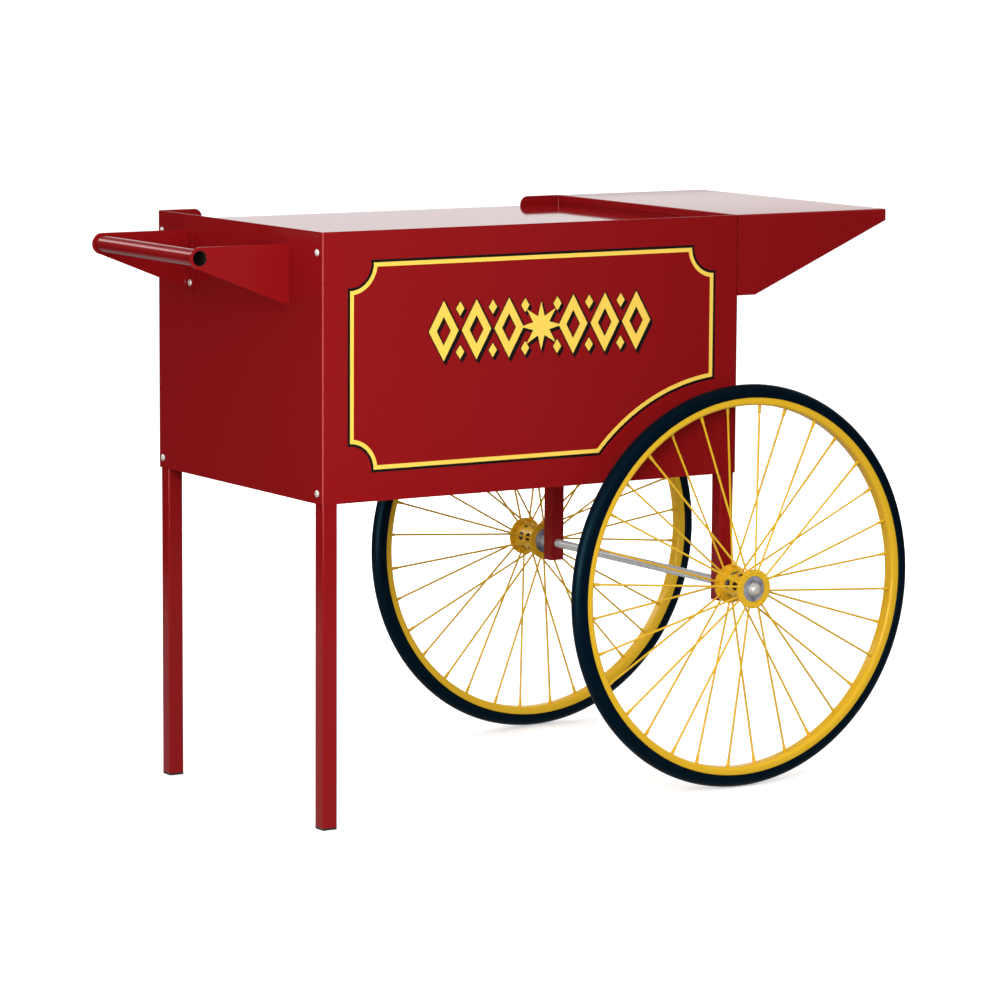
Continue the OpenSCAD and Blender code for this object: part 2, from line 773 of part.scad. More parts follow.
module lozenge(w, h) {
    polygon([[-w / 2, 0], [0, h / 2], [w / 2, 0], [0, -h / 2]]);
}
module ring_figure(g) {
    w = ornament_pitch - 5;
    slope = ornament_h / w;
    difference() {
        lozenge(w + 2.6 * g, ornament_h + 2.6 * g * slope);
        lozenge(w - 2 * ornament_stroke - 2 * g, ornament_h - 2 * (ornament_stroke + g) * slope);
    }
}
module star_figure(g, points, high) {
    inner = high * 0.42;
    turn = 360 / points;
    polygon([for (k = [0 : points - 1], edge = [0, 1])
        let (r = edge == 0 ? high / 2 + 1.8 * g : inner / 2 + g, a = 90 + (k + edge / 2) * turn)
            [r * cos(a), r * sin(a)]]);
}
module ornament_figures(g) {
    mid = (ornament_n - 1) / 2;
    for (i = [0 : ornament_n - 1]) translate(ornament_c + [(i - mid) * ornament_pitch, 0]) {
        if (i == mid) star_figure(g, 8, ornament_h * 0.82);
        else ring_figure(g);
    }
    for (i = [0 : ornament_n - 2], up = [-1, 1])
        translate(ornament_c + [(i + 0.5 - mid) * ornament_pitch, up * ornament_h * 0.36])
            lozenge(13 + 2 * g, 19 + 2.6 * g);
}

module ornament_decal() {
    color(yellow) on_front() ornament_figures(0);
}
module ornament_shadow_decal() {
    grow = 1.2;
    drop = [3.4, -3.6];
    color("black") on_front() difference() {
        union() {
            ornament_figures(grow);
            translate(drop) ornament_figures(grow);
        }
        ornament_figures(0);
    }
}

// ---------- operator's door ----------

module door() {
    y0 = back_y + door_gap;
    inner = door_depth - sheet_t;
    color(red) difference() {
        translate([door_x0, y0, door_z0]) cube([door_w, door_depth, door_h]);
        translate([door_x0 + sheet_t, y0 - 1, door_z0 + sheet_t])
            cube([door_w - 2 * sheet_t, inner + 1, door_h - 2 * sheet_t]);
        translate([knob_x, back_y, knob_z]) rotate([-90, 0, 0]) cylinder(r = screw_hole_r, h = 30);
    }
}

module knuckle(z, len) {
    translate([hinge_x, hinge_y, z]) cylinder(r = knuckle_r, h = len);
}
module pin_hole(r) {
    for (z = hinge_z) translate([hinge_x, hinge_y, z - 1]) cylinder(r = r, h = hinge_len + 2);
}

// The middle third of each hinge turns with the door
module door_hinge_leaves() {
    third = hinge_len / 3;
    play = 0.3;
    face_y = back_y + door_gap + door_depth;
    color(steel) difference() {
        for (z = hinge_z) {
            knuckle(z + third + play, third - 2 * play);
            translate([hinge_x, hinge_y, z + third + play])
                cube([door_x0 - hinge_x, leaf_t, third - 2 * play]);
            translate([door_x0 - leaf_t, back_y + 2.2, z])
                cube([leaf_t, face_y - back_y - 2.2, hinge_len]);
            translate([door_x0 - leaf_t, face_y, z]) cube([leaf_w, leaf_t, hinge_len]);
        }
        pin_hole(pin_r + running_gap);
        for (z = hinge_z) translate([hinge_x, hinge_y, z - 1]) {
            cylinder(r = knuckle_r + play, h = third + 1 + play);
            translate([0, 0, 2 * third + 1 - play]) cylinder(r = knuckle_r + play, h = third + 2);
        }
    }
}

module frame_hinge_leaves() {
    third = hinge_len / 3;
    color(steel) difference() {
        for (z = hinge_z) {
            for (end = [z, z + 2 * third]) {
                knuckle(end, third);
                translate([hinge_x - knuckle_r, back_y, end]) cube([knuckle_r, knuckle_r + 0.8, third]);
            }
            translate([hinge_x - leaf_w, back_y, z]) cube([leaf_w - knuckle_r - 0.5, leaf_t, hinge_len]);
            for (end = [z, z + 2 * third])
                translate([hinge_x - leaf_w, back_y, end]) cube([leaf_w, leaf_t, third]);
        }
        pin_hole(pin_r);
        hinge_screw_places() small_screw_hole();
    }
}

module hinge_pins() {
    color(steel) for (z = hinge_z) translate([hinge_x, hinge_y, z - 0.6]) {
        cylinder(r = pin_r, h = hinge_len + 1.2);
        for (end = [-1, hinge_len + 1.2]) translate([0, 0, end]) cylinder(r = 2.6, h = 1);
    }
}

module hinge_screw_places() {
    for (z = hinge_z, part = [1 / 6, 5 / 6])
        translate([hinge_x - 12.5, back_y + leaf_t, z + hinge_len * part]) rotate([-90, 0, 0]) children();
}
module small_screw() {
    translate([0, 0, -small_screw_len]) cylinder(r = small_screw_r, h = small_screw_len);
    intersection() {
        cylinder(r = 2.8, h = 1.6);
        translate([0, 0, -3.4]) sphere(5);
    }
}
module small_screw_hole() {
    translate([0, 0, -small_screw_len - 1]) cylinder(r = small_screw_r, h = small_screw_len + 7);
}
module hinge_screws() {
    color(steel) hinge_screw_places() small_screw();
}

// Round knob with a neck, turned from one profile
module door_knob() {
    r = knob_d / 2;
    neck_r = 7;
    y0 = back_y + door_gap + door_depth;
    color("black") translate([knob_x, y0, knob_z]) rotate([-90, 0, 0]) difference() {
        union() {
            cylinder(r = neck_r + 2, h = 2.5);
            cylinder(r = neck_r, h = 12);
            translate([0, 0, 10]) intersection() {
                cylinder(r = r, h = 12);
                translate([0, 0, -10]) sphere(22);
                translate([0, 0, 10]) sphere(r + 2);
            }
        }
        translate([0, 0, -1]) cylinder(r = screw_r, h = 12);
    }
}
module knob_screw() {
    color(steel) translate([knob_x, back_y + door_gap + door_depth - sheet_t, knob_z])
        rotate([90, 0, 0]) screw(10);
}

catch_w = 20;
catch_y = back_y - sheet_t;

// Magnetic catch behind the opening's free edge; its poles reach out to the door's strike plate
module magnet_catch() {
    edge = opening_x + opening_w;
    face = back_y + door_gap + door_depth - sheet_t - 1.5;
    color("black") difference() {
        union() {
            translate([edge - 9, catch_y - 12, catch_z]) cube([catch_w + 9, 12, catch_h]);
            translate([edge - 9, catch_y - 0.1, catch_z + 8])
                cube([7, face - catch_y + 0.1, catch_h - 16]);
        }
        catch_screw_places() small_screw_hole();
    }
}
module catch_screw_places() {
    for (z = [catch_z + 8, catch_z + catch_h - 8])
        translate([opening_x + opening_w + 16.5, back_y, z]) rotate([-90, 0, 0]) children();
}
module catch_screws() {
    color(steel) catch_screw_places() small_screw();
}
module strike_plate() {
    edge = opening_x + opening_w;
    inner = back_y + door_gap + door_depth - sheet_t;
    color(steel) translate([edge - 16, inner - 1.2, catch_z + 2]) cube([14, 1.2, catch_h - 4]);
}

front_panel();
back_panel();
left_end_panel();
right_end_panel();
deck();
floor_pan();
front_leg();
back_leg();
leg_feet();
front_axle_post();
back_axle_post();
axle();
axle_spacers();
axle_washers();
axle_cap_nuts();
side_shelf();
shelf_screws();
left_panel_screws();
right_panel_screws();
handle_bar();
front_handle_bracket();
back_handle_bracket();
handle_screws();
stripe_decal();
stripe_outline_decal();
ornament_decal();
ornament_shadow_decal();
door();
door_hinge_leaves();
frame_hinge_leaves();
hinge_pins();
hinge_screws();
door_knob();
knob_screw();
magnet_catch();
catch_screws();
strike_plate();
front_tyre();
front_rim();
front_spokes();
front_nipples();
front_hub();
front_bearings();
front_bearing_sleeve();
back_tyre();
back_rim();
back_spokes();
back_nipples();
back_hub();
back_bearings();
back_bearing_sleeve();
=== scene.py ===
import json
import math

import bmesh
import bpy
from mathutils import Matrix, Vector


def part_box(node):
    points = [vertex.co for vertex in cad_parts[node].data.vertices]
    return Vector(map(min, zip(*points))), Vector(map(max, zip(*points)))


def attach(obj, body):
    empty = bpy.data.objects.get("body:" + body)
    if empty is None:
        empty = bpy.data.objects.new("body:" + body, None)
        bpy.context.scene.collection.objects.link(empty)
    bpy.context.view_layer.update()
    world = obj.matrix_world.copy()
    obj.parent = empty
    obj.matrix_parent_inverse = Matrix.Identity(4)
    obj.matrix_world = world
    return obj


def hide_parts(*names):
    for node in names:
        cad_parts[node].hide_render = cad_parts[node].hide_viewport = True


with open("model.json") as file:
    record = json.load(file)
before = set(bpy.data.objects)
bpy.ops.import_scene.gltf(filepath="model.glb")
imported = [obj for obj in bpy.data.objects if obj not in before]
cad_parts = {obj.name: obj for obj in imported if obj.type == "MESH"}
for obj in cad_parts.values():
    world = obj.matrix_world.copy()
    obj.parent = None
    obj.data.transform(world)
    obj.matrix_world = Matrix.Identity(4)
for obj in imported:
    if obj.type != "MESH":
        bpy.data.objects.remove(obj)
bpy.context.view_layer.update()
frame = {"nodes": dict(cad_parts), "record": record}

MM = 0.001
bodies = frame["record"]["behaviour"]["bodies"]
body_of = {node: body for body, nodes in bodies.items() for node in nodes}
slot_of = {s["node"]: s["material_slot"] for s in frame["record"]["subparts"]}

# ---------- places taken from the frame ----------
left_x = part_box("left_end_panel")[0].x
front_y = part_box("front_panel")[0].y

# ---------- camera at the photograph's angle ----------
# The focal length is given for a picture FRAME_PX wide.
FOCAL_PX = 4388.0
FRAME_PX = 1000.0
SENSOR = 36.0                      # mm, as Blender's cameras have it
# From the cabinet's left front corner, above the floor
CAMERA_FROM_CORNER = Vector((-2.8384, -4.8989, 1.2283))
YAW = math.radians(-32.433)
PITCH = math.radians(7.916)
ROLL = math.radians(0.338)


def make_camera():
    data = bpy.data.cameras.new("camera")
    data.sensor_width = SENSOR
    data.lens = FOCAL_PX / FRAME_PX * SENSOR
    data.clip_start, data.clip_end = 0.1, 60.0
    cam = bpy.data.objects.new("camera", data)
    bpy.context.scene.collection.objects.link(cam)
    ahead = Vector((-math.sin(YAW) * math.cos(PITCH), math.cos(YAW) * math.cos(PITCH), -math.sin(PITCH)))
    right = Vector((math.cos(YAW), math.sin(YAW), 0.0))
    up = right.cross(ahead)
    side = math.cos(ROLL) * right + math.sin(ROLL) * up
    top = -math.sin(ROLL) * right + math.cos(ROLL) * up
    turn = Matrix((side, top, -ahead)).transposed()
    cam.matrix_world = Matrix.Translation(
        CAMERA_FROM_CORNER + Vector((left_x, front_y, 0.0))) @ turn.to_4x4()
    bpy.context.scene.camera = cam


# ---------- materials ----------
def node_tools(name):
    """A new material with one principled shader."""
    mat = bpy.data.materials.new(name)
    mat.use_nodes = True
    tree = mat.node_tree
    tree.nodes.clear()
    shader = tree.nodes.new("ShaderNodeBsdfPrincipled")
    out = tree.nodes.new("ShaderNodeOutputMaterial")
    tree.links.new(shader.outputs["BSDF"], out.inputs["Surface"])
    return mat, tree, shader


def noise(tree, scale, detail=3.0, rough=0.5, stretch=(1, 1, 1)):
    """Noise from 0 to 1 that sticks to the piece. scale is in waves per metre."""
    coords = tree.nodes.new("ShaderNodeTexCoord")
    place = tree.nodes.new("ShaderNodeMapping")
    place.inputs["Scale"].default_value = stretch
    tex = tree.nodes.new("ShaderNodeTexNoise")
    tex.inputs["Scale"].default_value = scale
    tex.inputs["Detail"].default_value = detail
    tex.inputs["Roughness"].default_value = rough
    tree.links.new(coords.outputs["Object"], place.inputs["Vector"])
    tree.links.new(place.outputs["Vector"], tex.inputs["Vector"])
    return tex.outputs["Fac"]


def ramp(tree, fac, low, high, dark, light):
    """dark up to low, light from high on, and evenly from one to the other between them."""
    node = tree.nodes.new("ShaderNodeMapRange")
    node.inputs["From Min"].default_value = low
    node.inputs["From Max"].default_value = high
    node.inputs["To Min"].default_value = dark
    node.inputs["To Max"].default_value = light
    node.clamp = True
    tree.links.new(fac, node.inputs["Value"])
    return node.outputs["Result"]


def mix_colour(tree, fac, a, b):
    node = tree.nodes.new("ShaderNodeMix")
    node.data_type = "RGBA"
    sockets = [s for s in node.inputs if s.type == "RGBA"]
    for socket, value in zip(sockets, (a, b)):
        if isinstance(value, tuple):
            socket.default_value = (*value, 1.0)
        else:
            tree.links.new(value, socket)
    tree.links.new(fac, node.inputs["Factor"])
    return [s for s in node.outputs if s.type == "RGBA"][0]


def shader_math(tree, kind, a, b):
    """a is a socket, b a socket or a number."""
    node = tree.nodes.new("ShaderNodeMath")
    node.operation = kind
    tree.links.new(a, node.inputs[0])
    if isinstance(b, float):
        node.inputs[1].default_value = b
    else:
        tree.links.new(b, node.inputs[1])
    return node.outputs[0]


def bump(tree, shader, height, strength, distance):
    node = tree.nodes.new("ShaderNodeBump")
    node.inputs["Strength"].default_value = strength
    node.inputs["Distance"].default_value = distance
    tree.links.new(height, node.inputs["Height"])
    tree.links.new(node.outputs["Normal"], shader.inputs["Normal"])


def edge_wear(tree, radius, size):
    """1 on edges sharper than the radius, broken up by noise of the given scale: where paint wears thin."""
    geometry = tree.nodes.new("ShaderNodeNewGeometry")
    rounded = tree.nodes.new("ShaderNodeBevel")
    rounded.samples = 4
    rounded.inputs["Radius"].default_value = radius
    same = tree.nodes.new("ShaderNodeVectorMath")
    same.operation = "DOT_PRODUCT"
    tree.links.new(geometry.outputs["Normal"], same.inputs[0])
    tree.links.new(rounded.outputs["Normal"], same.inputs[1])
    edges = ramp(tree, same.outputs["Value"], 0.80, 0.985, 1.0, 0.0)
    patches = ramp(tree, noise(tree, size, detail=4.0, rough=0.6), 0.48, 0.66, 0.0, 1.0)
    return shader_math(tree, "MULTIPLY", edges, patches)


PAINT_WEAR = 0.9 * MM              # how far from an edge paint wears
WEAR_SCALE = 30.0
DRIFT_SCALE = 1.4                  # slow changes of shade and of gloss
GLOSS_SCALE = 5.0
PEEL_SCALE = 420.0
PEEL_DEPTH = 0.2 * MM


def paint(name, colour, shade, worn, roughness, spread, peel, sheen):
    """Baked gloss paint: slight shade drift, orange peel, and edges that wear to a lighter tone."""
    mat, tree, shader = node_tools(name)
    drift = ramp(tree, noise(tree, DRIFT_SCALE, detail=2.0, rough=0.4), 0.2, 0.8, 0.0, 1.0)
    body = mix_colour(tree, drift, colour, shade)
    full = mix_colour(tree, edge_wear(tree, PAINT_WEAR, WEAR_SCALE), body, worn)
    tree.links.new(full, shader.inputs["Base Color"])
    gloss = ramp(tree, noise(tree, GLOSS_SCALE), 0.2, 0.8, roughness, roughness + spread)
    tree.links.new(gloss, shader.inputs["Roughness"])
    bump(tree, shader, noise(tree, PEEL_SCALE, detail=2.0), peel, PEEL_DEPTH)
    shader.inputs["IOR"].default_value = 1.4
    shader.inputs["Specular Tint"].default_value = (*sheen, 1.0)
    return mat


METAL_TONE_SCALE = 60.0
METAL_GRAIN_STRENGTH = 0.12
METAL_GRAIN_DEPTH = 0.1 * MM


def metal(name, colour, dull, roughness, spread, grain, stretch, bare):
    """Drawn or pressed metal: grain is the scale of its streaks, bare how metallic it looks."""
    mat, tree, shader = node_tools(name)
    tone = ramp(tree, noise(tree, METAL_TONE_SCALE, detail=4.0, rough=0.6), 0.3, 0.7, 0.0, 1.0)
    tree.links.new(mix_colour(tree, tone, colour, dull), shader.inputs["Base Color"])
    shader.inputs["Metallic"].default_value = bare
    streak = noise(tree, grain, detail=4.0, rough=0.6, stretch=stretch)
    tree.links.new(ramp(tree, streak, 0.3, 0.7, roughness, roughness + spread), shader.inputs["Roughness"])
    bump(tree, shader, streak, METAL_GRAIN_STRENGTH, METAL_GRAIN_DEPTH)
    return mat


TONE_SCALE = 14.0
DULL_SCALE = 30.0


def plain_dielectric(name, colour, shade, roughness, spread, scale, strength, depth,
        ior=1.45, sheen=(1, 1, 1)):
    """Film, rubber or plastic: two near tones, and a fine grain of the given scale, strength and depth."""
    mat, tree, shader = node_tools(name)
    tone = ramp(tree, noise(tree, TONE_SCALE, detail=4.0, rough=0.6), 0.3, 0.7, 0.0, 1.0)
    tree.links.new(mix_colour(tree, tone, colour, shade), shader.inputs["Base Color"])
    dull = noise(tree, DULL_SCALE, detail=4.0, rough=0.6)
    tree.links.new(ramp(tree, dull, 0.3, 0.7, roughness, roughness + spread), shader.inputs["Roughness"])
    bump(tree, shader, noise(tree, scale), strength, depth)
    shader.inputs["IOR"].default_value = ior
    shader.inputs["Specular Tint"].default_value = (*sheen, 1.0)
    return mat


def red_gloss(name, roughness):
    return paint(name, (0.262, 0.0062, 0.0078), (0.250, 0.0058, 0.0073), worn=(0.33, 0.022, 0.022),
        roughness=roughness, spread=0.02, peel=0.02, sheen=(1.0, 0.46, 0.44))


def printed_film(name, colour, shade, roughness):
    return plain_dielectric(name, colour, shade, roughness=roughness, spread=0.08,
        scale=260.0, strength=0.03, depth=0.1 * MM)


MATERIALS = {
    "red_paint": red_gloss("red_paint", 0.11),
    "deck_paint": red_gloss("deck_paint", 0.045),
    "yellow_paint": paint("yellow_paint", (0.86, 0.52, 0.022), (0.80, 0.46, 0.018),
        worn=(0.90, 0.64, 0.15), roughness=0.20, spread=0.08, peel=0.04, sheen=(1.0, 0.9, 0.6)),
    "yellow_decal": printed_film("yellow_decal", (1.0, 0.68, 0.10), (0.97, 0.64, 0.085), 0.28),
    "black_decal": printed_film("black_decal", (0.005, 0.002, 0.003), (0.008, 0.004, 0.005), 0.26),
    "tyre_rubber": plain_dielectric("tyre_rubber", (0.0001, 0.0036, 0.0090), (0.0003, 0.0044, 0.0104),
        roughness=0.36, spread=0.08, scale=340.0, strength=0.05, depth=0.2 * MM,
        ior=1.20, sheen=(0.30, 0.75, 1.0)),
    "black_plastic": plain_dielectric("black_plastic", (0.012, 0.012, 0.013), (0.020, 0.020, 0.021),
        roughness=0.42, spread=0.12, scale=620.0, strength=0.15, depth=0.2 * MM),
    "axle_steel": metal("axle_steel", (0.74, 0.78, 0.79), (0.66, 0.70, 0.72),
        roughness=0.26, spread=0.04, grain=90.0, stretch=(4, 0.3, 4), bare=0.20),
    "zinc_steel": metal("zinc_steel", (0.72, 0.71, 0.67), (0.60, 0.59, 0.55),
        roughness=0.22, spread=0.12, grain=320.0, stretch=(1, 1, 1), bare=0.4),
    "bearing_steel": metal("bearing_steel", (0.56, 0.58, 0.66), (0.07, 0.08, 0.12),
        roughness=0.26, spread=0.12, grain=150.0, stretch=(1, 1, 1), bare=0.3),
}

# ---------- pieces made from the frame's own shapes ----------
SHARP = math.radians(28)           # faces that meet at more than this are bevelled
MERGE = 0.002 * MM
FLAT = math.radians(0.4)


def finish_mesh(obj, node, name):
    """Gives obj the named material, and puts it in the place of the CAD node, on the node's body."""
    obj.data.materials.clear()
    obj.data.materials.append(MATERIALS[name])
    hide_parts(node)
    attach(obj, body_of[node])


def refined(node, width):
    """A new piece on a node's own surface: flat faces merged, edges rounded over width (0 keeps them)."""
    mesh = frame["nodes"][node].data.copy()
    obj = bpy.data.objects.new(node + "_piece", mesh)
    bpy.context.scene.collection.objects.link(obj)
    made = bmesh.new()
    made.from_mesh(mesh)
    bmesh.ops.remove_doubles(made, verts=made.verts, dist=MERGE)
    bmesh.ops.dissolve_limit(made, angle_limit=FLAT, use_dissolve_boundaries=False,
        verts=made.verts, edges=made.edges, delimit={"NORMAL"})
    made.to_mesh(mesh)
    made.free()
    if mesh.attributes.get("custom_normal"):
        mesh.attributes.remove(mesh.attributes["custom_normal"])
    if width > 0:
        mesh.shade_smooth()
        mesh.set_sharp_from_angle(angle=SHARP)
        bevel = obj.modifiers.new("edge", "BEVEL")
        bevel.width = width
        bevel.segments = 2
        bevel.limit_method = "ANGLE"
        bevel.angle_limit = SHARP
        bevel.harden_normals = True
        bevel.use_clamp_overlap = True
    else:
        mesh.shade_flat()
    finish_mesh(obj, node, slot_of[node])
    return obj


def paint_bore_shade(obj, inside_r):
    """Painted shade inside the handle tube: its faces nearer than inside_r get a near-black colour that
    stands in for the shade in the bore, not the tube's own colour.
    """
    mesh = obj.data
    # Near-black painted shade: the dark the tube's open end shows, put into the colour of its inner faces.
    mesh.materials.append(plain_dielectric("tube_inside_painted_shade", (0.010, 0.005, 0.005), (0.016, 0.009, 0.008),
        roughness=0.5, spread=0.1, scale=200.0, strength=0.1, depth=0.2 * MM))
    low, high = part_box("handle_bar")
    middle = (low + high) / 2
    for face in mesh.polygons:
        off = face.center - middle
        if math.hypot(off.x, off.z) < inside_r and abs(face.normal.y) < 0.5:
            face.material_index = 1


SMALL_EDGE = 0.25 * MM             # rounding of every piece that EDGE doesn't name
EDGE = {
    "leg_feet": 0.6 * MM, "axle": 0.6 * MM, "magnet_catch": 0.5 * MM, "handle_bar": 0.4 * MM,
    "front_hub": 0.5 * MM, "back_hub": 0.5 * MM, "front_bearings": 0.4 * MM, "back_bearings": 0.4 * MM,
}
HANDLE_INSIDE_R = 10.2 * MM        # between the tube's bore and its outer face
# Decals are too thin to be rounded, and the wheels' outer pieces are made anew below.
THIN = {"stripe_decal", "stripe_outline_decal", "ornament_decal", "ornament_shadow_decal"}
MADE = {side + part for side in ("front", "back") for part in ("_tyre", "_rim", "_spokes", "_nipples")}

for node in sorted(frame["nodes"]):
    if node in THIN:
        refined(node, 0.0)
    elif node not in MADE:
        piece = refined(node, EDGE.get(node, SMALL_EDGE))
        if node == "handle_bar":
            # The tube's inner faces get painted shade in place of the dark inside the bore.
            paint_bore_shade(piece, HANDLE_INSIDE_R)
        if node == "deck":
            piece.data.materials[0] = MATERIALS["deck_paint"]

# ---------- wheels ----------
WHEEL_SEGMENTS = 192
tyre_low, tyre_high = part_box("front_tyre")
axle_x, axle_z = (tyre_low.x + tyre_high.x) / 2, (tyre_low.z + tyre_high.z) / 2
wheel_y = (tyre_low.y + tyre_high.y) / 2
wheel_r = (tyre_high.z - tyre_low.z) / 2
tread = (tyre_high.y - tyre_low.y) / 2
tyre_h = 17.5 * MM                 # rubber over the rim
rim_h = 11 * MM                    # depth of the rim's channel
rim_half = 10.5 * MM               # half the rim's width
rim_wall = 1.6 * MM
rim_out = wheel_r - tyre_h
rim_in = rim_out - rim_h
hub_half = 27 * MM                 # from the wheel's middle plane to the middle of a flange
flange_t = 2.4 * MM
spoke_r = 1.5 * MM
spoke_count = 32
spoke_phase = math.radians(-5.2)   # of the first spoke's end in the rim
spoke_lean = math.radians(5.6)     # how far a spoke's hub end is turned from its rim end
spoke_hole_r = 24 * MM
spoke_pin = 2.32 * MM              # from the wire's bend to the flange's inner face
spoke_inner_z = hub_half - flange_t / 2 - spoke_pin
spoke_rim_z = 3 * MM
nipple_out = rim_in + rim_wall - 0.5 * MM    # below the channel's floor
nipple_len = 12 * MM


def at_wheel(side, radius, angle, z):
    """A point of a wheel: z is outwards along the axle from its middle plane. side = 1 front, -1 back."""
    across, up = radius * math.cos(angle), radius * math.sin(angle)
    return Vector((axle_x + across, side * (wheel_y - z), axle_z + up))


def link_bmesh(made, name):
    bmesh.ops.recalc_face_normals(made, faces=made.faces)
    mesh = bpy.data.meshes.new(name)
    made.to_mesh(mesh)
    made.free()
    mesh.shade_smooth()
    mesh.set_sharp_from_angle(angle=math.radians(40))
    obj = bpy.data.objects.new(name, mesh)
    bpy.context.scene.collection.objects.link(obj)
    return obj


def arc(centre, radius, start, end, steps):
    """Points of an arc in a section, as (distance from the axle, z). 0 degrees is away from the axle."""
    turns = (math.radians(start + (end - start) * i / steps) for i in range(steps + 1))
    return [(centre[0] + radius * math.cos(t), centre[1] + radius * math.sin(t)) for t in turns]


def ring(name, side, section, swell=None):
    """A closed section turned round the axle. swell(turn) moves the rim's floor outwards by that much."""
    made = bmesh.new()
    floor_top = rim_in + 0.5 * MM
    rows = []
    for i in range(WHEEL_SEGMENTS):
        turn = 2 * math.pi * i / WHEEL_SEGMENTS
        out = swell(turn) if swell else 0.0
        rows.append([made.verts.new(at_wheel(side, r + (out if r < floor_top else 0.0), turn, z))
            for r, z in section])
    for i, row in enumerate(rows):
        after = rows[(i + 1) % WHEEL_SEGMENTS]
        for j in range(len(section)):
            k = (j + 1) % len(section)
            made.faces.new((row[j], row[k], after[k], after[j]))
    return link_bmesh(made, name)


def tyre_section():
    """A round tread with a mould seam, side walls, a groove above the rim, and a foot in the channel."""
    crown = wheel_r - tread
    seam, seam_h = 0.35 * MM, 0.22 * MM
    body = tread - seam_h
    top = crown + body
    round_part = arc((crown, 0), body, -88, 88, 36)
    half = len(round_part) // 2
    mould = [(top, -2 * seam), (top + seam_h, -seam), (top + seam_h, seam), (top, 2 * seam)]
    outer = round_part[:half] + mould + round_part[half + 1:]
    foot_z = rim_half - rim_wall - 0.2 * MM
    above_rim = [(1.6, 0.1), (1.2, 0.5), (0.8, 0.5), (0.5, 0.2), (0.1, 0.9)]      # height, depth in mm
    wall = [(crown - 0.6 * MM, tread)]
    wall += [(rim_out + up * MM, tread - deep * MM) for up, deep in above_rim]
    wall += [(rim_out + 0.1 * MM, foot_z), (rim_in + rim_wall + 0.2 * MM, foot_z)]
    mirrored = [(r, -z) for r, z in reversed(wall)]
    return mirrored + outer + wall


def rim_section():
    """A rolled channel: round lower corners, straight walls and hemmed lips."""
    bend = 5.0 * MM
    inner_bend = bend - rim_wall
    lip = rim_wall / 2 + 0.15 * MM
    top = rim_out - lip
    base = rim_in + bend
    half = [(rim_in, z * MM) for z in (0.0, 1.0, 3.0, 5.0)]
    half += arc((base, rim_half - bend), bend, 170, 90, 8)
    half += [(rim_in + 0.72 * rim_h, rim_half)]
    half += arc((top, rim_half - lip), lip, 90, -90, 8)
    half += arc((base, rim_half - bend), inner_bend, 90, 180, 6)
    other = [(r, -z) for r, z in reversed(half) if z > 0]
    return half + [(rim_in + rim_wall, 0.0)] + other


def rim_weld(turn):
    """The butt weld across the rim, ground almost flush."""
    place, width, height = math.radians(248), math.radians(0.9), 0.18 * MM
    gap = (turn - place + math.pi) % (2 * math.pi) - math.pi
    return -height * math.exp(-(gap / width) ** 2)


BAR_SIDES = 12


def sweep(made, path):
    """A round bar along path = [(point, radius)], with its ends closed."""
    points = [p for p, r in path]
    rows = []
    normal = None
    for i, (point, radius) in enumerate(path):
        ahead = (points[min(i + 1, len(points) - 1)] - points[max(i - 1, 0)]).normalized()
        if normal is None:
            normal = ahead.orthogonal().normalized()
        normal = (normal - ahead * normal.dot(ahead)).normalized()
        across = ahead.cross(normal)
        rows.append([made.verts.new(point + radius * (math.cos(t) * normal + math.sin(t) * across))
            for t in (2 * math.pi * k / BAR_SIDES for k in range(BAR_SIDES))])
    for row, after in zip(rows, rows[1:]):
        for k in range(BAR_SIDES):
            j = (k + 1) % BAR_SIDES
            made.faces.new((row[k], row[j], after[j], after[k]))
    made.faces.new(list(reversed(rows[0])))
    made.faces.new(rows[-1])


def spoke_ends(k, side):
    """Where spoke k's wire bends at the hub, where it ends in the rim, and which way its flange faces."""
    face = 1 if k % 2 == 0 else -1
    lean = -1 if (k // 2) % 2 == 0 else 1
    turn = spoke_phase + 2 * math.pi * k / spoke_count
    start = at_wheel(side, spoke_hole_r, turn + lean * spoke_lean, face * spoke_inner_z)
    end = at_wheel(side, nipple_out, turn, face * spoke_rim_z)
    outwards = Vector((0, -side * face, 0))
    return start, end, outwards


def make_spokes(name, side):
    """Each spoke: a domed head outside the flange, a pin through it, a J bend and a straight wire."""
    made = bmesh.new()
    bend = 2.6 * MM
    bend_steps = 8
    to_face = spoke_pin + flange_t
    head = [(0.88, 0.55), (0.84, 1.2), (0.55, 1.8), (0.2, 2.08), (0.02, 2.08)]    # height, radius in mm
    for k in range(spoke_count):
        start, end, out = spoke_ends(k, side)
        along = (end - start).normalized()
        path = [(start + out * (to_face + h * MM), r * MM) for h, r in head]
        path += [(start + out * (to_face + h * MM), spoke_r) for h in (0.01, -1.2)]
        for i in range(bend_steps + 1):
            t = i / bend_steps
            point = start + out * bend * (1 - t) ** 2 + along * bend * t ** 2
            path.append((point, spoke_r))
        reach = (end - start).length
        path += [(start + along * reach * f, spoke_r) for f in (0.3, 0.6)]
        path.append((end - along * 3 * MM, spoke_r))
        sweep(made, path)
    return link_bmesh(made, name)


def make_nipples(name, side):
    """Each nipple: a chamfered tip, a round barrel, and a wider shoulder in the rim's hole."""
    made = bmesh.new()
    # Height above the tip and radius, in mm
    section = [(0.0, 1.62), (0.05, 1.85), (0.6, 2.15), (5.6, 2.2), (6.6, 2.38), (11.9, 2.38), (12.0, 2.2)]
    for k in range(spoke_count):
        start, end, _ = spoke_ends(k, side)
        along = (end - start).normalized()
        tip = end - along * nipple_len
        sweep(made, [(tip + along * h * MM, r * MM) for h, r in section])
    return link_bmesh(made, name)


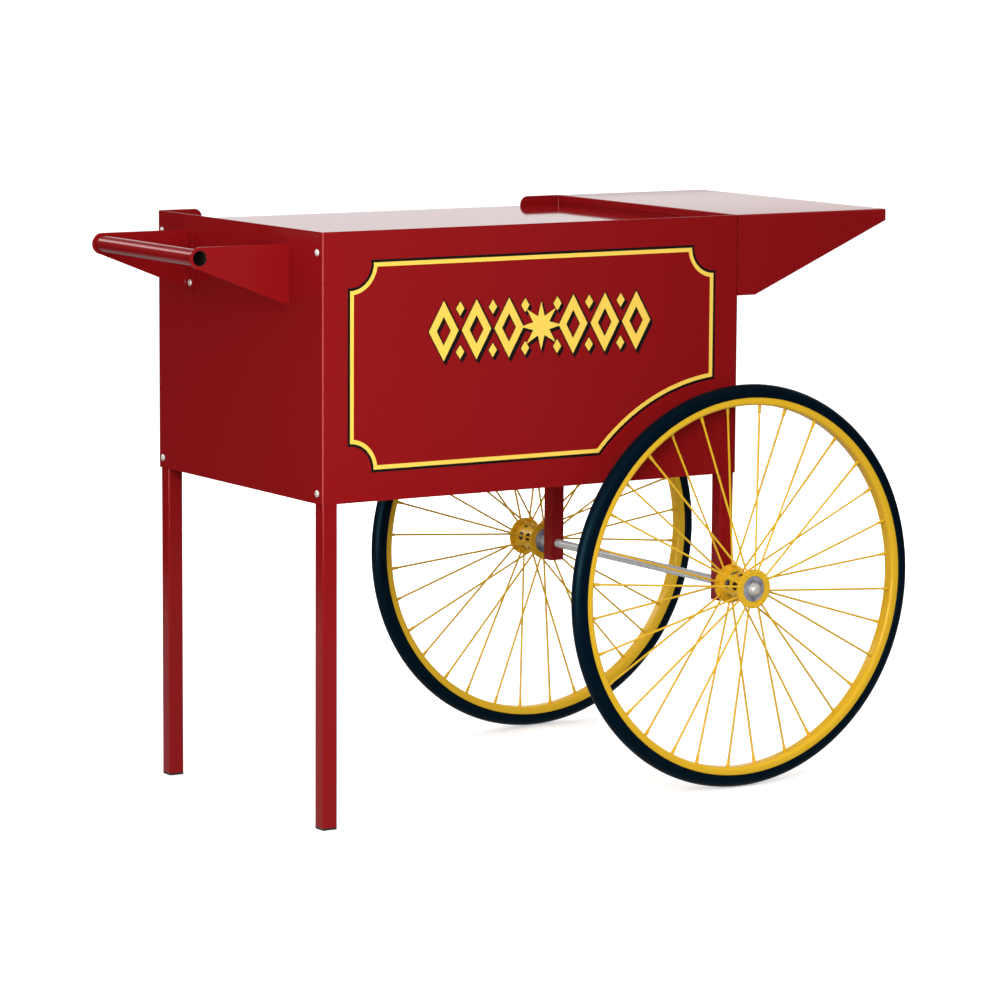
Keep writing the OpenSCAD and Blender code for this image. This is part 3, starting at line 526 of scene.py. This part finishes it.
for side, where in ((1, "front"), (-1, "back")):
    finish_mesh(ring(where + "_tyre_piece", side, tyre_section()), where + "_tyre", "tyre_rubber")
    finish_mesh(ring(where + "_rim_piece", side, rim_section(), rim_weld), where + "_rim", "yellow_paint")
    finish_mesh(make_spokes(where + "_spokes_piece", side), where + "_spokes", "yellow_paint")
    finish_mesh(make_nipples(where + "_nipples_piece", side), where + "_nipples", "yellow_paint")


# ---------- floor, light ----------
FLOOR_REACH = 60.0
FLOOR_GLOW = 0.34                  # keeps the contact shadows faint

BACKDROP = 1.22                    # what the camera sees behind the cart
SKY_LEFT = 1.15                    # soft light on the pieces, from the left and from the right
SKY_RIGHT = 0.75
GROUND_LIGHT = 0.22

GLOSS_DARK = 0.02                  # the studio as gloss sees it: its low part and its ceiling
GLOSS_TOP = 0.35
BACK_GLOSS = 0.96                  # a bright low band behind, on the right
WINDOW_GLOSS = 4.0                 # a narrow window higher up, on the left
SHINE_REACH = 2.4                  # the lit floor fades out between these distances from the origin
SHINE_FADE = 1.6
FLOOR_GLOSS = 0.42

KEY_POWER = 12.6
BOUNCE_POWER = 2.4
FILL_POWER = 26
# The soft box stands BOX_FAR away from the cabinet's left front corner, and is twice BOX_HALF wide.
BOX_AHEAD = Vector((-0.94, -0.342, 0.0))
BOX_FAR = 2.6
BOX_HALF = 1.6
BOX_TOP = 2.0
BOX_GLOW = 11.0
CARD_LEFT, CARD_RIGHT, CARD_Y, CARD_TOP = -0.1, 2.6, -3.2, 1.4
FRONT_GLOW = 0.17


def flat_sheet(name, corners):
    mesh = bpy.data.meshes.new(name)
    mesh.from_pydata(corners, [], [range(len(corners))])
    mesh.update()
    obj = bpy.data.objects.new(name, mesh)
    bpy.context.scene.collection.objects.link(obj)
    return obj


def level_sheet(name, reach, z):
    return flat_sheet(name, [(-reach, -reach, z), (reach, -reach, z), (reach, reach, z), (-reach, reach, z)])


def upright_sheet(name, start, end, top):
    """A sheet that stands on the floor between two points (x, y)."""
    return flat_sheet(name, [(*start, 0.0), (*end, 0.0), (*end, top), (*start, top)])


def make_floor():
    floor = level_sheet("floor", FLOOR_REACH, 0)
    mat, tree, shader = node_tools("floor")
    tone = ramp(tree, noise(tree, 1.5), 0.3, 0.7, 0.0, 1.0)
    near_white = mix_colour(tree, tone, (0.99, 0.99, 0.99), (0.97, 0.97, 0.97))
    tree.links.new(near_white, shader.inputs["Base Color"])
    shader.inputs["Roughness"].default_value = 0.9
    shader.inputs["Specular IOR Level"].default_value = 0.0
    shader.inputs["Emission Color"].default_value = (1.0, 1.0, 1.0, 1.0)
    shader.inputs["Emission Strength"].default_value = FLOOR_GLOW
    floor.data.materials.append(mat)
    floor.visible_glossy = floor.visible_diffuse = False


def emitter(name):
    mat = bpy.data.materials.new(name)
    mat.use_nodes = True
    tree = mat.node_tree
    tree.nodes.clear()
    light = tree.nodes.new("ShaderNodeEmission")
    out = tree.nodes.new("ShaderNodeOutputMaterial")
    tree.links.new(light.outputs["Emission"], out.inputs["Surface"])
    return mat, tree, light


def only_in_reflections(card, mat):
    card.data.materials.append(mat)
    card.visible_camera = card.visible_diffuse = card.visible_shadow = card.visible_transmission = False


def reflector(card, glow):
    """A light panel that only shows in reflections and fades towards its two ends and its top."""
    mat, tree, light = emitter(card.name)
    coords = tree.nodes.new("ShaderNodeTexCoord")
    split = tree.nodes.new("ShaderNodeSeparateXYZ")
    tree.links.new(coords.outputs["Generated"], split.inputs[0])
    across = shader_math(tree, "MULTIPLY", ramp(tree, split.outputs["X"], 0.0, 0.3, 0.0, 1.0),
        ramp(tree, split.outputs["X"], 0.7, 1.0, 1.0, 0.0))
    upwards = ramp(tree, split.outputs["Z"], 0.8, 1.0, glow, 0.0)
    tree.links.new(shader_math(tree, "MULTIPLY", across, upwards), light.inputs["Strength"])
    only_in_reflections(card, mat)


def shining_floor():
    """The lit floor round the cart as its gloss sees it: brightest in the middle, gone at its edge."""
    card = level_sheet("floor_shine", SHINE_REACH, 1 * MM)
    mat, tree, light = emitter("floor_shine")
    coords = tree.nodes.new("ShaderNodeTexCoord")
    away = tree.nodes.new("ShaderNodeVectorMath")
    away.operation = "LENGTH"
    tree.links.new(coords.outputs["Object"], away.inputs[0])
    fade = ramp(tree, away.outputs["Value"], SHINE_FADE, SHINE_REACH, FLOOR_GLOSS, 0.0)
    tree.links.new(fade, light.inputs["Strength"])
    only_in_reflections(card, mat)


def area_light(name, place, aim, size, power):
    data = bpy.data.lights.new(name, "AREA")
    data.shape = "RECTANGLE"
    data.size, data.size_y = size
    data.energy = power
    lamp = bpy.data.objects.new(name, data)
    bpy.context.scene.collection.objects.link(lamp)
    lamp.location = place
    lamp.rotation_euler = (Vector(aim) - Vector(place)).to_track_quat("-Z", "Y").to_euler()
    lamp.visible_glossy = lamp.visible_camera = False


def white_background(tree):
    background = tree.nodes.new("ShaderNodeBackground")
    background.inputs["Color"].default_value = (1.0, 1.0, 1.0, 1.0)
    return background


def soft_sky(tree, split):
    """White above the horizon, brighter on the left, and a little from the ground.

    split gives a direction's X, Y and Z, each from -1 to 1, here and in gloss_studio.
    """
    soft = white_background(tree)
    sideways = ramp(tree, split.outputs["X"], -0.5, 0.8, SKY_LEFT - GROUND_LIGHT, SKY_RIGHT - GROUND_LIGHT)
    above = shader_math(tree, "MULTIPLY", ramp(tree, split.outputs["Z"], -0.15, 0.05, 0.0, 1.0), sideways)
    tree.links.new(shader_math(tree, "ADD", above, GROUND_LIGHT), soft.inputs["Strength"])
    return soft


def gloss_studio(tree, split):
    """A dark studio with a bright low band at the back right and a window band at the back left."""
    gloss = white_background(tree)
    low_band = shader_math(tree, "MULTIPLY", ramp(tree, split.outputs["Z"], -0.03, 0.03, 0.0, 1.0),
        ramp(tree, split.outputs["Z"], 0.24, 0.40, 1.0, 0.0))
    backwards = shader_math(tree, "MULTIPLY", ramp(tree, split.outputs["Y"], 0.25, 0.55, 0.0, BACK_GLOSS),
        ramp(tree, split.outputs["X"], -0.15, 0.20, 0.0, 1.0))
    back_band = shader_math(tree, "MULTIPLY", low_band, backwards)
    slot = shader_math(tree, "MULTIPLY", ramp(tree, split.outputs["Z"], 0.30, 0.36, 0.0, 1.0),
        ramp(tree, split.outputs["Z"], 0.42, 0.48, 1.0, 0.0))
    window = shader_math(tree, "MULTIPLY", slot,
        ramp(tree, split.outputs["X"], -0.15, 0.0, WINDOW_GLOSS, 0.0))
    rest = ramp(tree, split.outputs["Z"], 0.0, 0.9, GLOSS_DARK, GLOSS_TOP)
    bright = shader_math(tree, "ADD", back_band, window)
    tree.links.new(shader_math(tree, "ADD", bright, rest), gloss.inputs["Strength"])
    return gloss


def make_world():
    """A white backdrop for the camera, a dark studio for gloss, and a soft sky for everything else."""
    world = bpy.data.worlds.new("studio")
    bpy.context.scene.world = world
    world.use_nodes = True
    tree = world.node_tree
    tree.nodes.clear()
    out = tree.nodes.new("ShaderNodeOutputWorld")
    coords = tree.nodes.new("ShaderNodeTexCoord")
    split = tree.nodes.new("ShaderNodeSeparateXYZ")
    tree.links.new(coords.outputs["Generated"], split.inputs[0])
    backdrop = white_background(tree)
    backdrop.inputs["Strength"].default_value = BACKDROP

    path = tree.nodes.new("ShaderNodeLightPath")
    choose = tree.nodes.new("ShaderNodeMixShader")
    tree.links.new(path.outputs["Is Glossy Ray"], choose.inputs["Fac"])
    tree.links.new(soft_sky(tree, split).outputs["Background"], choose.inputs[1])
    tree.links.new(gloss_studio(tree, split).outputs["Background"], choose.inputs[2])
    seen = tree.nodes.new("ShaderNodeMixShader")
    tree.links.new(path.outputs["Is Camera Ray"], seen.inputs["Fac"])
    tree.links.new(choose.outputs["Shader"], seen.inputs[1])
    tree.links.new(backdrop.outputs["Background"], seen.inputs[2])
    tree.links.new(seen.outputs["Shader"], out.inputs["Surface"])


def make_lamps():
    area_light("key", place=(-0.95, -1.45, 0.92), aim=(-0.25, -0.10, 0.50),
        size=(0.45, 0.45), power=KEY_POWER)
    area_light("low_bounce", place=(-1.25, -1.05, 0.10), aim=(-0.50, -0.15, 0.22),
        size=(0.8, 0.2), power=BOUNCE_POWER)
    area_light("fill", place=(1.7, 2.3, 1.1), aim=(0.1, 0.1, 0.45),
        size=(1.6, 1.6), power=FILL_POWER)


def make_cards():
    side = Vector((-BOX_AHEAD.y, BOX_AHEAD.x, 0.0))
    middle = Vector((left_x, front_y, 0.0)) + BOX_AHEAD * BOX_FAR
    start, end = middle - side * BOX_HALF, middle + side * BOX_HALF
    reflector(upright_sheet("soft_box", start.xy, end.xy, BOX_TOP), BOX_GLOW)
    reflector(upright_sheet("front_card", (CARD_LEFT, CARD_Y), (CARD_RIGHT, CARD_Y), CARD_TOP), FRONT_GLOW)


make_camera()
make_floor()
shining_floor()
make_world()
make_lamps()
make_cards()
bpy.context.scene.view_settings.view_transform = "Standard"
